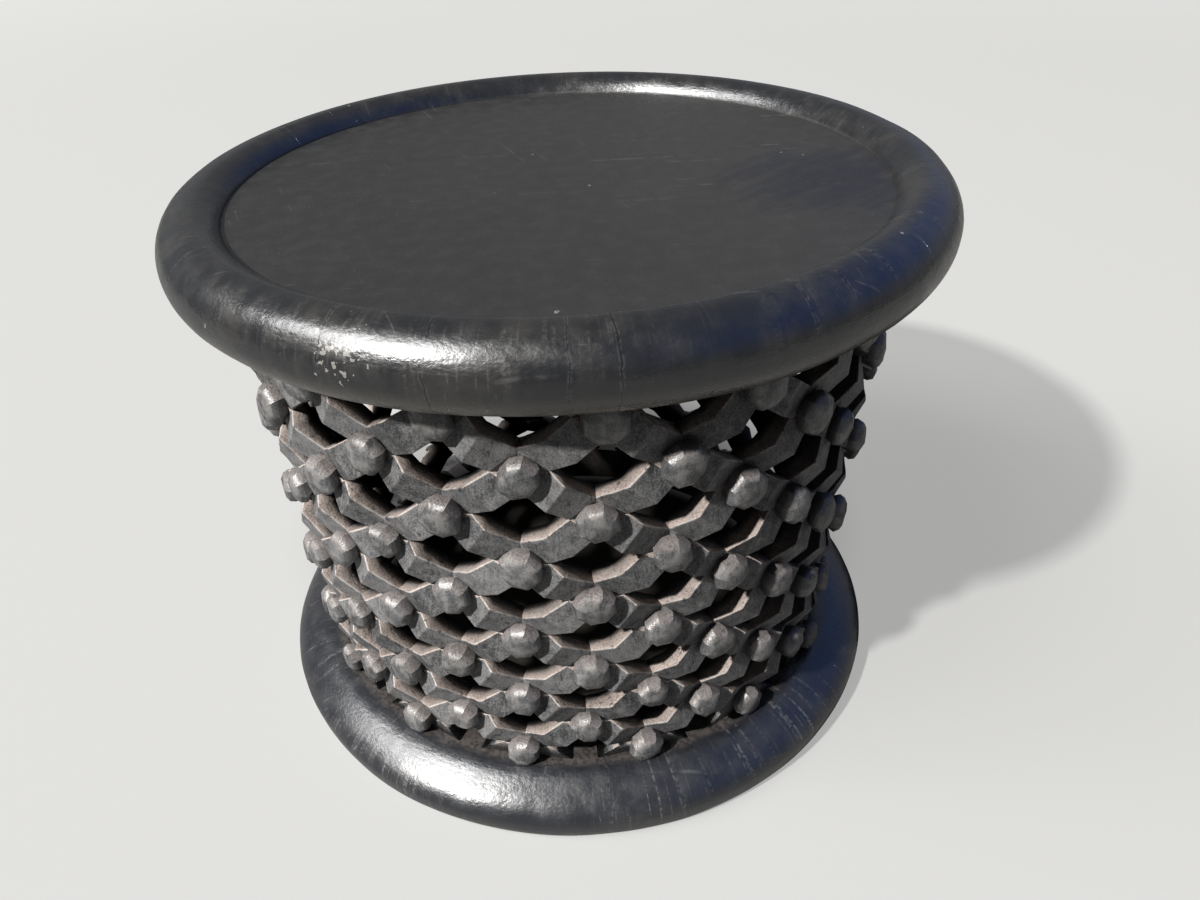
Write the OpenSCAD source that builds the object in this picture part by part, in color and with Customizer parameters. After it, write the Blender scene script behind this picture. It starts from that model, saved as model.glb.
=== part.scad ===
// Round tray coffee table carved from one log: a dished tray with a rolled
// rim, an openwork drum of crossing bars with a knob on each crossing, and a
// ring base.
// Units are millimetres. +Z is up and the origin is the centre of the base
// on the floor. Azimuths turn from +X towards +Y, and -Y is the front.

/* [Overall] */
// Height of the rim's crest above the floor
table_height = 458; // [380:1:560]
// Diameter over the rolled rim of the tray
tray_diameter = 600; // [480:5:800]
// Largest diameter of the ring base
base_diameter = 560; // [440:5:760]

/* [Tray] */
// Diameter of the rolled rim's round section
rim_section = 57; // [40:1:70]
// Width of the rim, from its outer edge to the foot of the dish's wall
rim_width = 48; // [40:0.5:70]
// Depth of the dish floor below the rim's crest
dish_depth = 15; // [6:0.5:22]
// How far the rim reaches out over the neck of the drum
rim_overhang = 48; // [36:0.5:70]

/* [Base] */
// Height of the base where the drum stands on it
base_height = 42; // [30:1:60]
// Height of the base's rounded outer edge
base_edge_height = 35; // [22:1:40]
// Width of the base's top face outside the neck of the drum
base_ledge = 50.5; // [36:0.5:70]
// Width of the flat seat that the drum stands on, outside its neck
base_seat = 14; // [4:0.5:20]
// How far the base reaches inside the inner face of the drum
base_lip = 3; // [0:0.5:12]
// Radius of the worn lower edges of the base
base_foot_round = 6; // [2:0.5:10]

/* [Openwork drum] */
// Number of knob columns around the drum, counted along one row
columns = 15; // [10:1:20]
// Thickness of the drum wall at the crossings
drum_wall = 13; // [10:0.5:24]
// Half of the angle that a crossing takes up at its own height
crossing_half_angle = 4.6; // [3:0.1:5.5]
// Half height of a crossing as a share of the pitch of its rows
crossing_share = 0.43; // [0.34:0.01:0.46]
// Height of the crown between the top row of crossings and the tray
crown_height = 19; // [12:0.5:24]
// Height of the foot between the bottom row of crossings and the base
foot_height = 12; // [10:0.5:20]
// Growth of the row pitch from one tier to the tier above it
pitch_growth = 1.03; // [1.01:0.005:1.06]
// Azimuth of the first knob column in the top row
first_azimuth = -85; // [-102:0.5:-78]
// Drift of the knob columns from one row to the row below it, in degrees
column_drift = -0.55; // [-1:0.05:1]

/* [Knees of the bars] */
// How far the knee of a bar stands out from the necks at its ends
knee_rise = 7.5; // [4:0.5:16]
// Place of the knee along the upper edge of a bar that leans right
right_knee_along_top = 0.3; // [0.25:0.01:0.6]
// Place of the knee along the upper edge of a bar that leans left
left_knee_along_top = 0.49; // [0.25:0.01:0.6]
// Place of the knee along the lower edge of a bar
knee_along_bottom = 0.5; // [0.3:0.01:0.65]
// How much each edge of a bar narrows behind the knee, inside the drum
inner_taper = 4.5; // [0:0.5:6]

/* [Knobs] */
// Flat left on a crossing around the root of its knob
knob_margin = 0.6; // [0.2:0.1:2]
// Ratio of a knob's head to its root
knob_swell = 1.16; // [1.05:0.01:1.22]
// How far a knob stands out from its crossing
knob_reach = 13; // [8:0.5:20]

/* [Hidden] */
$fn = 96;
// Knob rows from tray to base, and tiers of bars between them
rows = 10;
tray_r = tray_diameter / 2;
base_r = base_diameter / 2;
half_pitch = 180 / columns;
// Heights of the tray's underside, the dish floor and the rows between
tray_under = table_height - rim_section;
dish_z = table_height - dish_depth;
row_top = tray_under - crown_height;
row_bottom = base_height + foot_height;
// Neck radii of the drum where it meets the tray and the base
neck_top_r = tray_r - rim_overhang;
neck_foot_r = base_r - base_ledge;
// Circle of the rim's section, and the angle at which the dish's wall leaves it for the floor
rim_r = rim_section / 2;
rim_centre_r = tray_r - rim_r;
rim_centre_z = table_height - rim_r;
floor_edge_r = tray_r - rim_width;
wall_turn = acos((dish_z - rim_centre_z) / rim_r);
// Inner radius of the base ring
base_bore_r = neck_foot_r - drum_wall - base_lip;
// Share of the outer knee rise that the crown and foot lugs reach
lug_rise = 0.45 * knee_rise;
// Steps of the dish's wall, of the base's outer curve and of a knob's head
wall_steps = 10;
edge_steps = 14;
head_steps = 9;
// Where along its reach a knob's head is widest
head_widest = 0.36;

// Height of row j, where row 1 is the one under the tray
function row_share(j) = (pow(pitch_growth, rows - j) - 1) / (pow(pitch_growth, rows - 1) - 1);
function row_z(j) = row_bottom + (row_top - row_bottom) * row_share(j);
// Neck radius of the drum at height z
function neck_r(z) = neck_foot_r + (neck_top_r - neck_foot_r) * (z - base_height) / (tray_under - base_height);
// Azimuth of the first crossing in row j: every other row is half a pitch back
function row_azimuth(j) = first_azimuth - (j % 2 == 1 ? 0 : half_pitch) + column_drift * (j - 1);
// Pitch of the tier below row j, and the half height of a crossing above and below row j
function pitch(j) = row_z(j) - row_z(j + 1);
function mean_pitch(j) = j == 1 ? pitch(1) : j == rows ? pitch(rows - 1) : (pitch(j - 1) + pitch(j)) / 2;
function half_up(j) = j == 1 ? crown_height : crossing_share * mean_pitch(j);
function half_down(j) = j == rows ? foot_height : crossing_share * mean_pitch(j);
// A point at radius r, azimuth a and height z
function polar(r, a, z) = [r * cos(a), r * sin(a), z];
// A point on the flat of a crossing at radius r and azimuth a, turned by angle d from its middle
function on_flat(r, a, d, z) = polar(r / cos(d), a + d, z);
function between(p, q, t) = p + (q - p) * t;

// Dish floor: the solid disc inside the rolled rim
module tray_floor()
    color([0.13, 0.13, 0.14])
    translate([0, 0, tray_under])
    cylinder(r = floor_edge_r, h = dish_z - tray_under);

// Wall of the dish from the crest of the rim to the floor: the rim's own
// curve, drawn in across so that it falls more steeply
dish_wall = [
    for (i = [0 : wall_steps])
        let (a = wall_turn * i / wall_steps)
        [rim_centre_r - (rim_width - rim_r) * sin(a) / sin(wall_turn), rim_centre_z + rim_r * cos(a)]
];

// Rolled rim: half round outside, with the dish's wall and a flat underside
// running in to the floor
module tray_rim()
    color([0.16, 0.16, 0.18])
    rotate_extrude() {
        intersection() {
            translate([rim_centre_r, rim_centre_z]) circle(r = rim_r);
            translate([rim_centre_r, tray_under]) square([rim_r, rim_section]);
        }
        polygon(concat(dish_wall, [[floor_edge_r, tray_under], [rim_centre_r, tray_under]]));
    }

// Outer edge of the base's section: a quarter curve from the seat to the
// widest point, and a tighter one from there to the foot
function base_curve(seat_r) = concat(
    [for (i = [0 : edge_steps])
        let (a = 90 - 90 * i / edge_steps)
        [seat_r + (base_r - seat_r) * pow(cos(a), 0.9),
         base_edge_height / 2 + (base_height - base_edge_height / 2) * pow(sin(a), 0.72)]],
    [for (i = [1 : edge_steps])
        let (a = 90 * i / edge_steps)
        [base_r - base_foot_round * (1 - cos(a)),
         base_edge_height / 2 - base_edge_height / 2 * sin(a)]]
);

// Ring base, open inside the drum
module base_ring()
    color([0.15, 0.15, 0.18])
    rotate_extrude()
    polygon(concat(
        [[base_bore_r + base_foot_round / 2, 0], [base_bore_r, base_foot_round / 2], [base_bore_r, base_height]],
        base_curve(neck_foot_r + base_seat)
    ));

// Corner numbers of a bar, outer face first and the same corners inside
// after it: 0 neck centre above, 1 side of the upper crossing, 2 knee on the
// upper edge, 3 top of the lower crossing, 4 neck centre below, 5 side of
// the lower crossing, 6 knee on the lower edge, 7 bottom of the upper crossing
bar_ring = [0, 1, 2, 3, 4, 5, 6, 7];
bar_flats = [[0, 1, 7], [1, 2, 6], [1, 6, 7], [2, 3, 5], [2, 5, 6], [3, 4, 5]];
inside = len(bar_ring);
bar_faces = concat(
    [for (f = bar_flats) f],
    [for (f = bar_flats) [f[2] + inside, f[1] + inside, f[0] + inside]],
    [for (i = bar_ring)
        let (n = (i + 1) % inside)
        each [[i, i + inside, n], [n, i + inside, n + inside]]]
);
function flipped(faces) = [for (f = faces) [f[2], f[1], f[0]]];

// One bar from a crossing of row j down to the next row, leaning right
// (side 1) or left (side -1) seen from outside
module bar(j, side, azimuth) {
    d = side * crossing_half_angle;
    along = side > 0 ? right_knee_along_top : left_knee_along_top;
    low = azimuth + side * half_pitch + column_drift;
    zu = row_z(j);
    zl = row_z(j + 1);
    ru = neck_r(zu);
    rl = neck_r(zl);
    iu = ru - drum_wall;
    il = rl - drum_wall;
    knee_top = azimuth + between(d, low - azimuth, along);
    knee_bottom = azimuth + between(0, low - azimuth - d, knee_along_bottom);
    zt = between(zu, zl + half_up(j + 1), along);
    zb = between(zu - half_down(j), zl, knee_along_bottom);
    outer = [
        polar(ru, azimuth, zu),
        on_flat(ru, azimuth, d, zu),
        polar(between(ru, rl, along) + knee_rise, knee_top, zt),
        polar(rl, low, zl + half_up(j + 1)),
        polar(rl, low, zl),
        on_flat(rl, low, -d, zl),
        polar(between(ru, rl, knee_along_bottom) + knee_rise, knee_bottom, zb),
        polar(ru, azimuth, zu - half_down(j))
    ];
    inner = [
        polar(iu, azimuth, zu),
        polar(iu, azimuth + d, zu),
        polar(between(iu, il, along), knee_top, zt - inner_taper),
        polar(il, low, zl + half_up(j + 1)),
        polar(il, low, zl),
        polar(il, low - d, zl),
        polar(between(iu, il, knee_along_bottom), knee_bottom, zb + inner_taper),
        polar(iu, azimuth, zu - half_down(j))
    ];
    polyhedron(points = concat(outer, inner), faces = side > 0 ? flipped(bar_faces) : bar_faces);
}

// All the bars of tier j that lean to one side
module tier(j, side)
    color(side > 0 ? [0.33, 0.30, 0.29] : [0.27, 0.27, 0.28])
    for (k = [0 : columns - 1]) bar(j, side, row_azimuth(j) + 2 * half_pitch * k);

// Corners of a lug: 0 and 1 sides of the crossing, 2 and 4 far corners, 3
// tip of the crossing between them, and the same corners inside after them
lug_faces = [
    [0, 3, 1], [1, 3, 2], [0, 4, 3],
    [5, 6, 8], [6, 7, 8], [5, 8, 9],
    [0, 1, 6], [0, 6, 5], [1, 2, 7], [1, 7, 6],
    [2, 3, 8], [2, 8, 7], [3, 4, 9], [3, 9, 8], [4, 0, 5], [4, 5, 9]
];

// Half a crossing that spreads into the tray (up 1) or into the base (up -1)
module lug(j, up, azimuth) {
    d = crossing_half_angle;
    z = row_z(j);
    end = up > 0 ? tray_under : base_height;
    next = up > 0 ? mean_pitch(1) * pitch_growth : mean_pitch(rows) / pitch_growth;
    spread = d + abs(end - z) * (half_pitch - d) / (next * (1 - crossing_share));
    r = neck_r(z);
    re = neck_r(end);
    outer = [
        on_flat(r, azimuth, -d, z),
        on_flat(r, azimuth, d, z),
        polar(r + lug_rise, azimuth + spread, end),
        polar(r, azimuth, end),
        polar(r + lug_rise, azimuth - spread, end)
    ];
    inner = [
        polar(r - drum_wall, azimuth - d, z),
        polar(r - drum_wall, azimuth + d, z),
        polar(re - drum_wall, azimuth + spread, end),
        polar(re - drum_wall, azimuth, end),
        polar(re - drum_wall, azimuth - spread, end)
    ];
    polyhedron(points = concat(outer, inner), faces = up > 0 ? lug_faces : flipped(lug_faces));
}

module drum_crown()
    color([0.22, 0.22, 0.23])
    for (k = [0 : columns - 1]) lug(1, 1, row_azimuth(1) + 2 * half_pitch * k);

module drum_foot()
    color([0.22, 0.22, 0.23])
    for (k = [0 : columns - 1]) lug(rows, -1, row_azimuth(rows) + 2 * half_pitch * k);

// Radius of the largest circle on the flat of a crossing in row j
function flat_r(j) =
    let (t = neck_r(row_z(j)) * tan(crossing_half_angle), h = min(half_up(j), half_down(j)))
    t * h / sqrt(t * t + h * h);

// Half section of a knob: a short neck swelling to a blunt domed head
function knob_section(root) = concat(
    [[0, 0], [root, 0]],
    [for (i = [1 : head_steps])
        let (s = 1 - cos(90 * i / head_steps))
        [root + root * (knob_swell - 1) * sin(90 * i / head_steps), knob_reach * head_widest * s]],
    [for (i = [1 : head_steps - 1])
        let (a = 90 * i / head_steps)
        [root * knob_swell * pow(cos(a), 0.7), knob_reach * (head_widest + (1 - head_widest) * pow(sin(a), 1.1))]],
    [[0, knob_reach]]
);

// Row j of knobs, each seated on the flat of its crossing
module knob_row(j)
    color([0.42, 0.42, 0.43])
    for (k = [0 : columns - 1])
        rotate([0, 0, row_azimuth(j) + 2 * half_pitch * k])
        translate([neck_r(row_z(j)), 0, row_z(j)])
        rotate([0, 90, 0])
        rotate_extrude()
        polygon(knob_section(flat_r(j) - knob_margin));

module tier_01_right_bars() tier(1, 1);
module tier_01_left_bars() tier(1, -1);
module tier_02_right_bars() tier(2, 1);
module tier_02_left_bars() tier(2, -1);
module tier_03_right_bars() tier(3, 1);
module tier_03_left_bars() tier(3, -1);
module tier_04_right_bars() tier(4, 1);
module tier_04_left_bars() tier(4, -1);
module tier_05_right_bars() tier(5, 1);
module tier_05_left_bars() tier(5, -1);
module tier_06_right_bars() tier(6, 1);
module tier_06_left_bars() tier(6, -1);
module tier_07_right_bars() tier(7, 1);
module tier_07_left_bars() tier(7, -1);
module tier_08_right_bars() tier(8, 1);
module tier_08_left_bars() tier(8, -1);
module tier_09_right_bars() tier(9, 1);
module tier_09_left_bars() tier(9, -1);
module knobs_row_01() knob_row(1);
module knobs_row_02() knob_row(2);
module knobs_row_03() knob_row(3);
module knobs_row_04() knob_row(4);
module knobs_row_05() knob_row(5);
module knobs_row_06() knob_row(6);
module knobs_row_07() knob_row(7);
module knobs_row_08() knob_row(8);
module knobs_row_09() knob_row(9);
module knobs_row_10() knob_row(10);

tray_floor();
tray_rim();
drum_crown();
tier_01_right_bars();
tier_01_left_bars();
tier_02_right_bars();
tier_02_left_bars();
tier_03_right_bars();
tier_03_left_bars();
tier_04_right_bars();
tier_04_left_bars();
tier_05_right_bars();
tier_05_left_bars();
tier_06_right_bars();
tier_06_left_bars();
tier_07_right_bars();
tier_07_left_bars();
tier_08_right_bars();
tier_08_left_bars();
tier_09_right_bars();
tier_09_left_bars();
knobs_row_01();
knobs_row_02();
knobs_row_03();
knobs_row_04();
knobs_row_05();
knobs_row_06();
knobs_row_07();
knobs_row_08();
knobs_row_09();
knobs_row_10();
drum_foot();
base_ring();
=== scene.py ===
import sys
import logging
import math
import random
from dataclasses import dataclass
from enum import Enum
from functools import reduce
from typing import Optional, Sequence, Union

import bmesh
import bpy
from mathutils import Matrix, Vector
from mathutils.geometry import intersect_point_line


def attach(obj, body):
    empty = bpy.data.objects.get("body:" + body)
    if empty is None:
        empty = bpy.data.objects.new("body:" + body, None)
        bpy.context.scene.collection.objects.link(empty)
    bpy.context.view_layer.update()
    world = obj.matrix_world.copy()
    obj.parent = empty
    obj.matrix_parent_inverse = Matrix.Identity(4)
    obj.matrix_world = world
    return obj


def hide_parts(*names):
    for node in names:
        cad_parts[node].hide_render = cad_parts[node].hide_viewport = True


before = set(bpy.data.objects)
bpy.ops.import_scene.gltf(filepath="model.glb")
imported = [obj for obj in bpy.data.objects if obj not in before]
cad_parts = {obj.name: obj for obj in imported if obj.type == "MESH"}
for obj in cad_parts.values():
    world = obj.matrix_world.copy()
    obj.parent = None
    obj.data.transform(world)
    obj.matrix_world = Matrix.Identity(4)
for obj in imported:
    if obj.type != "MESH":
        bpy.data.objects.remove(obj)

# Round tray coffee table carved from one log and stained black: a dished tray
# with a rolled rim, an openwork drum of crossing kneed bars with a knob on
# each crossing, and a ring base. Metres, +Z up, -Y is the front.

log = logging.getLogger("tray_table")

MM = 0.001
# A height or radius that no point of the table comes near.
NOWHERE = -1.0
Colour = tuple[float, float, float, float]
Range = tuple[float, float]
Point = tuple[float, float, float]
Socket = bpy.types.NodeSocket
Piece = bpy.types.Object
Material = bpy.types.Material
Mesh = bpy.types.Mesh
Feed = Union[Socket, float, int, Sequence[float]]
Section = Sequence[tuple[float, float]]


class Lean(Enum):
    """The side that a bar runs down to, seen from outside the drum."""

    RIGHT = 1
    LEFT = -1


class End(Enum):
    """The end of the drum that a lug spreads into."""

    TRAY = 1
    BASE = -1


def polar(radius: float, azimuth: float, height: float) -> Vector:
    """A point at a radius and height in metres and an azimuth in degrees."""
    turn = math.radians(azimuth)
    return Vector((radius * math.cos(turn), radius * math.sin(turn), height))


def on_flat(radius: float, azimuth: float, turn: float, height: float) -> Vector:
    """A point on the vertical flat that touches radius at azimuth, turned from its middle."""
    return polar(radius / math.cos(math.radians(turn)), azimuth + turn, height)


def between(low: float, high: float, share: float) -> float:
    """The value a share of the way from low to high."""
    return low + (high - low) * share


@dataclass(frozen=True)
class DrumPlan:
    """The rows of crossings that the openwork drum is carved on, with angles in degrees."""

    columns: int = 15
    rows: int = 10
    wall: float = 13 * MM
    crossing_half_angle: float = 4.6
    crossing_share: float = 0.43
    pitch_growth: float = 1.03
    first_azimuth: float = -85.0
    column_drift: float = -0.55
    crown_height: float = 19 * MM
    foot_height: float = 12 * MM
    tray_underside: float = 401 * MM
    base_top: float = 42 * MM
    neck_top: float = 252 * MM
    neck_foot: float = 229.5 * MM
    knee_rise: float = 7.5 * MM
    right_knee_along_top: float = 0.3
    left_knee_along_top: float = 0.49
    knee_along_bottom: float = 0.5
    inner_taper: float = 4.5 * MM
    edge_round: float = 1.1 * MM
    crack: float = 1.0 * MM
    unevenness: float = 3.2 * MM

    @property
    def half_pitch(self) -> float:
        """Half the angle between two crossings of a row."""
        return 180 / self.columns

    def height(self, row: int) -> float:
        """Height of the crossings of a row, where row 1 is under the tray.

        Args:
            row: Number of the row.

        Returns:
            The height in metres.
        """
        low = self.base_top + self.foot_height
        high = self.tray_underside - self.crown_height
        grown = self.pitch_growth ** (self.rows - row) - 1
        return between(low, high, grown / (self.pitch_growth ** (self.rows - 1) - 1))

    def neck(self, height: float) -> float:
        """Radius of the crossings at a height."""
        share = (height - self.base_top) / (self.tray_underside - self.base_top)
        return between(self.neck_foot, self.neck_top, share)

    def azimuth(self, row: int) -> float:
        """Azimuth of the first crossing of a row."""
        back = 0 if row % 2 else self.half_pitch
        return self.first_azimuth - back + self.column_drift * (row - 1)

    def pitch(self, row: int) -> float:
        """Height of the tier below a row."""
        return self.height(row) - self.height(row + 1)

    def mean_pitch(self, row: int) -> float:
        """Mean height of the tiers above and below a row.

        Args:
            row: Number of the row.

        Returns:
            The height in metres.
        """
        if row == 1:
            return self.pitch(1)
        if row == self.rows:
            return self.pitch(row - 1)
        return (self.pitch(row - 1) + self.pitch(row)) / 2

    def half_up(self, row: int) -> float:
        """Height of a crossing above its middle."""
        return self.crown_height if row == 1 else self.crossing_share * self.mean_pitch(row)

    def half_down(self, row: int) -> float:
        """Height of a crossing below its middle."""
        return self.foot_height if row == self.rows else self.crossing_share * self.mean_pitch(row)


class Graph:
    """Adds nodes to one node tree and links them."""

    def __init__(self, tree: bpy.types.NodeTree) -> None:
        """Starts on an empty tree."""
        self.tree = tree
        tree.nodes.clear()

    def feed(self, socket: Socket, value: Feed) -> None:
        """Links a socket into another one, or sets its own value."""
        if isinstance(value, Socket):
            self.tree.links.new(value, socket)
        else:
            socket.default_value = value

    def node(self, kind: str, feeds: Optional[dict[Union[str, int], Feed]] = None,
             **settings: object) -> bpy.types.Node:
        """Adds one node.

        Args:
            kind: Blender's name for the kind of node.
            feeds: What goes into its sockets, by their name or number.
            settings: The node's own settings.

        Returns:
            The node.
        """
        made = self.tree.nodes.new(kind)
        for name, value in settings.items():
            setattr(made, name, value)
        for key, value in (feeds or {}).items():
            self.feed(made.inputs[key], value)
        return made

    def first(self, kind: str, feeds: Optional[dict[Union[str, int], Feed]] = None,
              **settings: object) -> Socket:
        """Adds one node and gives its first output."""
        return self.node(kind, feeds, **settings).outputs[0]

    def math(self, operation: str, a: Feed, b: Feed = 0.0, clamp: bool = False) -> Socket:
        """One operation on two numbers."""
        feeds = {0: a, 1: b}
        return self.first("ShaderNodeMath", feeds, operation=operation, use_clamp=clamp)

    def plus(self, *values: Feed) -> Socket:
        """The sum of some numbers."""
        return reduce(lambda a, b: self.math("ADD", a, b), values)

    def times(self, *values: Feed) -> Socket:
        """The product of some numbers."""
        return reduce(lambda a, b: self.math("MULTIPLY", a, b), values)

    def minus(self, a: Feed, b: Feed) -> Socket:
        """A number less another one."""
        return self.math("SUBTRACT", a, b)

    def rest(self, share: Feed) -> Socket:
        """What a share leaves of 1."""
        return self.minus(1.0, share)

    def vector(self, operation: str, a: Feed, b: Feed = (0.0, 0.0, 0.0)) -> Socket:
        """One operation on two vectors that gives a vector."""
        return self.first("ShaderNodeVectorMath", {0: a, 1: b}, operation=operation)

    def measure(self, operation: str, a: Feed, b: Feed = (0.0, 0.0, 0.0)) -> Socket:
        """One operation on two vectors that gives a number, such as their DISTANCE."""
        made = self.node("ShaderNodeVectorMath", {0: a, 1: b}, operation=operation)
        return made.outputs["Value"]

    def stretch(self, vector: Feed, scale: Sequence[float]) -> Socket:
        """A vector with each axis scaled."""
        return self.vector("MULTIPLY", vector, scale)

    def scaled(self, vector: Feed, scale: Feed) -> Socket:
        """A vector times a number."""
        feeds = {0: vector, "Scale": scale}
        return self.first("ShaderNodeVectorMath", feeds, operation="SCALE")

    def split(self, vector: Feed) -> Sequence[Socket]:
        """The three parts of a vector."""
        return self.node("ShaderNodeSeparateXYZ", {0: vector}).outputs

    def joined(self, x: Feed = 0.0, y: Feed = 0.0, z: Feed = 0.0) -> Socket:
        """A vector made of three numbers."""
        return self.first("ShaderNodeCombineXYZ", {0: x, 1: y, 2: z})

    def turned(self, vector: Feed, angle: Feed) -> Socket:
        """A vector turned about the Z axis by an angle in radians."""
        feeds = {0: vector, 3: angle}
        return self.first("ShaderNodeVectorRotate", feeds, rotation_type="Z_AXIS")

    def off_axis(self, vector: Feed) -> Socket:
        """A point's distance from the Z axis."""
        return self.measure("LENGTH", self.stretch(vector, (1, 1, 0)))

    def spread(self, value: Feed, low: float, high: float, start: float = 0.0,
               stop: float = 1.0) -> Socket:
        """A value taken smoothly from low and high to start and stop, held beyond them."""
        feeds = {"Value": value, "From Min": low, "From Max": high, "To Min": start, "To Max": stop}
        return self.first("ShaderNodeMapRange", feeds, interpolation_type="SMOOTHSTEP")

    def noise(self, vector: Feed, scale: float, detail: float, seed: float) -> Socket:
        """A cloudy pattern from 0 to 1, with scale waves a metre."""
        feeds = {"Vector": vector, "Scale": scale, "Detail": detail, "W": seed}
        return self.node("ShaderNodeTexNoise", feeds, noise_dimensions="4D").outputs["Fac"]

    def blend(self, share: Feed, first: Feed, second: Feed) -> Socket:
        """Two colours mixed by a share of the second."""
        mix = self.node("ShaderNodeMix", {0: share, 6: first, 7: second}, data_type="RGBA")
        return mix.outputs[2]

    def bump(self, height: Feed, depth: float, strength: float,
             under: Optional[Socket] = None) -> Socket:
        """A normal raised by a height.

        Args:
            height: The pattern, from 0 to 1.
            depth: What 1 stands for, in metres.
            strength: Share of the effect.
            under: A normal that this one adds to.

        Returns:
            The new normal.
        """
        feeds = {"Height": height, "Distance": depth, "Strength": strength}
        if under is not None:
            feeds["Normal"] = under
        return self.first("ShaderNodeBump", feeds)

    def place(self) -> Socket:
        """A surface point's place in its own object, which is its place in metres."""
        return self.node("ShaderNodeTexCoord").outputs["Object"]

    def normal(self) -> Socket:
        """The surface's normal."""
        return self.node("ShaderNodeNewGeometry").outputs["Normal"]

    def own(self, name: str) -> Socket:
        """A number that the piece's faces carry."""
        return self.node("ShaderNodeAttribute", attribute_name=name).outputs["Fac"]


def rgb(red: float, green: float, blue: float) -> Colour:
    """A solid colour, linear."""
    return (red, green, blue, 1.0)


def new_material(name: str) -> tuple[Material, Graph]:
    """An empty material and the graph to build it with.

    Args:
        name: The material's name.

    Returns:
        The material and its graph.
    """
    made = bpy.data.materials.new(name)
    made.use_nodes = True
    return made, Graph(made.node_tree)


@dataclass(frozen=True)
class CarvedFinish:
    """Dusty wood of the openwork under a dark stain: grey faces, dust on top, rubbed edges, dark
    cracks, and painted shade inside the drum, deep in its wall and on the openings' right walls.
    """

    name: str
    plan: DrumPlan
    stain: Colour = rgb(0.017, 0.017, 0.018)
    grey: Colour = rgb(0.180, 0.178, 0.179)
    dust: Colour = rgb(0.396, 0.326, 0.289)
    edge: Colour = rgb(0.396, 0.369, 0.342)
    # Painted shade: near-black for faces that look into the drum, deep in its wall and on the
    # right-hand opening walls. The cracks take it too.
    shade_and_crack_black: Colour = rgb(0.003, 0.003, 0.003)
    dusting: float = 1.0
    edge_rubbing: float = 0.55
    # Painted shade: how far the walls of the openings on the drum's right are darkened, and the
    # span of x over which it sets in.
    right_side_shade: float = 0.90
    right_side_shade_span: Range = (110 * MM, 190 * MM)
    # Painted shade: how far the colour darkens deep in the drum's wall, and the depths over which
    # it sets in.
    depth_shade: float = 0.92
    depth_shade_range: Range = (4 * MM, 12 * MM)
    roughness: float = 0.52
    gloss: float = 0.45
    patch_scale: float = 26.0
    rubbing_scale: float = 110.0
    fibre_scale: float = 480.0
    pit_scale: float = 760.0
    nick_scale: float = 190.0

    def depth(self, g: Graph, point: Socket) -> Socket:
        """How deep a point lies in the drum's wall, behind the crossings at its height.

        Args:
            g: The material's graph.
            point: The point.

        Returns:
            The depth in metres.
        """
        plan = self.plan
        feeds = {"Value": g.split(point)[2], "From Min": plan.base_top,
                 "From Max": plan.tray_underside, "To Min": plan.neck_foot, "To Max": plan.neck_top}
        return g.minus(g.first("ShaderNodeMapRange", feeds), g.off_axis(point))

    def material(self) -> Material:
        """Builds the material.

        Returns:
            The material, which reads the pieces' own attributes worn and tone.
        """
        made, g = new_material(self.name)
        point, normal, worn = g.place(), g.normal(), g.own("worn")
        facing = g.split(normal)[2]
        outward = g.vector("NORMALIZE", g.stretch(point, (1, 1, 0)))
        front = g.measure("DOT_PRODUCT", normal, outward)

        patches = g.noise(point, self.patch_scale, 2, 1.0)
        rubbing = g.noise(point, self.rubbing_scale, 4, 2.0)
        fibres = g.noise(g.stretch(point, (1, 1, 0.2)), self.fibre_scale, 3, 3.0)
        pits = g.noise(point, self.pit_scale, 3, 4.0)
        nicks = g.noise(g.stretch(point, (1, 1, 0.35)), self.nick_scale, 2, 5.0)

        level = g.plus(g.times(rubbing, 0.5), g.times(fibres, 0.3),
                       g.times(g.spread(pits, 0.36, 0.64), 0.17), g.times(g.own("tone"), 0.16))
        colour = g.blend(g.spread(level, 0.30, 0.82), self.stain, self.grey)
        dusty = g.times(g.spread(facing, 0.36, 0.66), g.spread(patches, 0.25, 0.60, 0.6, 1.0),
                        g.spread(pits, 0.34, 0.60, 0.40, 1.0), self.dusting)
        colour = g.blend(dusty, colour, self.dust)
        # Painted shade: the walls of the openings on the drum's right go near-black.
        right_walls_shade = g.times(g.spread(g.split(point)[0], *self.right_side_shade_span),
                        g.spread(front, 0.25, 0.60, 1.0, 0.0), self.right_side_shade)
        colour = g.blend(right_walls_shade, colour, self.shade_and_crack_black)
        rubbed = g.times(g.math("MAXIMUM", worn, 0.0), g.spread(rubbing, 0.42, 0.60),
                         self.edge_rubbing)
        colour = g.blend(rubbed, colour, self.edge)
        colour = g.blend(g.spread(nicks, 0.30, 0.36, 0.75, 0.0), colour, self.stain)
        colour = g.blend(g.math("MULTIPLY", worn, -1.0, True), colour, self.shade_and_crack_black)
        # Painted shade: faces that look into the drum go near-black.
        inside = g.spread(front, -0.85, -0.45, 1.0, 0.0)
        colour = g.blend(inside, colour, self.shade_and_crack_black)
        # Painted shade: the colour goes near-black deeper in the drum's wall.
        deep = g.spread(self.depth(g, point), *self.depth_shade_range, 0.0, self.depth_shade)
        colour = g.blend(deep, colour, self.shade_and_crack_black)

        relief = g.bump(rubbing, 1.8 * MM, 0.45)
        relief = g.bump(fibres, 0.6 * MM, 0.5, relief)
        relief = g.bump(pits, 0.5 * MM, 0.6, relief)
        rough = g.spread(level, 0.4, 0.9, self.roughness + 0.12, self.roughness - 0.08)
        shader = g.node("ShaderNodeBsdfPrincipled", {
            "Base Color": colour, "Roughness": rough, "Normal": relief,
            "Specular IOR Level": g.times(g.rest(inside), self.gloss)})
        shader.inputs["Specular IOR Level"].default_value = self.gloss
        g.node("ShaderNodeOutputMaterial", {0: shader.outputs[0]})
        return made


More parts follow.
